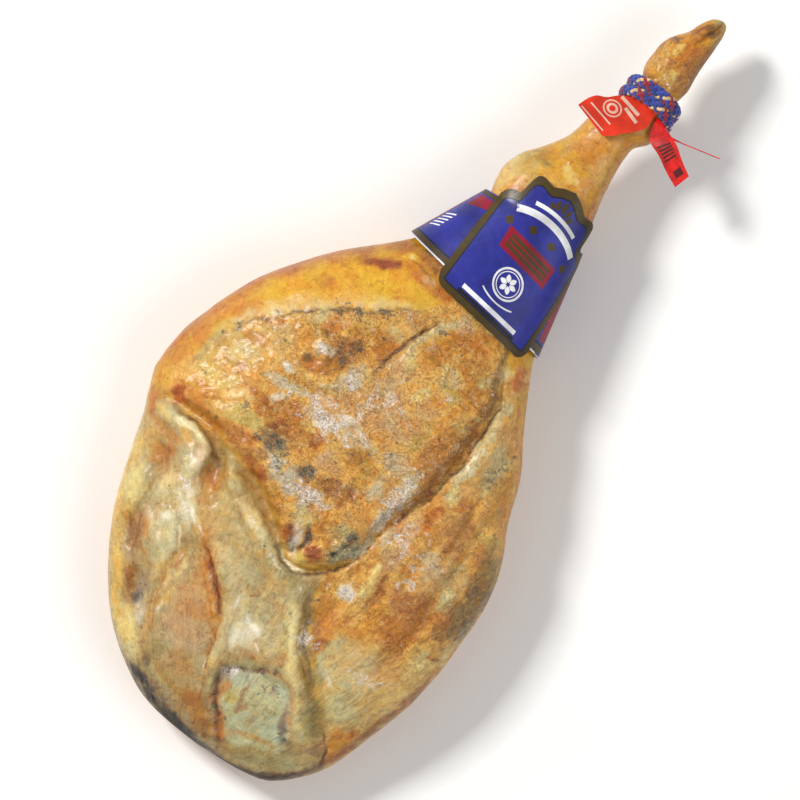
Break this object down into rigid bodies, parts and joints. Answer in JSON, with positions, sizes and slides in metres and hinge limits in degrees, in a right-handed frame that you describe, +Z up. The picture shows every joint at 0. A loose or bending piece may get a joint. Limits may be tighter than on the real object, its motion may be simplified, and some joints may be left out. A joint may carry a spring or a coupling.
{
  "type": "cured ham",
  "caption": "Whole bone-in cured ham lying on its rind, lean side up, with shank, foot, card label, ankle cord, tag and seal.",
  "frame": {"origin": "centre of the flat spot that the ham rests on", "axes": "+Y along the leg from the butt to the toe, +Z up through the lean side, +X to the right of the leg seen from above"},
  "size_m": [0.3519, 0.769, 0.1209],
  "materials": {
    "ham": "oily golden rind, tan and orange-brown lean side",
    "card": "coated blue card with olive-gold borders",
    "cord": "braided blue, red and cream cord",
    "tag": "coated red card",
    "seal": "glossy red plastic"
  },
  "bodies": {
    "root": {"ham": "ham", "card_band": "card", "card_panel": "card", "ankle_cord": "cord", "tag": "tag", "seal": "seal"}
  },
  "joints": []
}
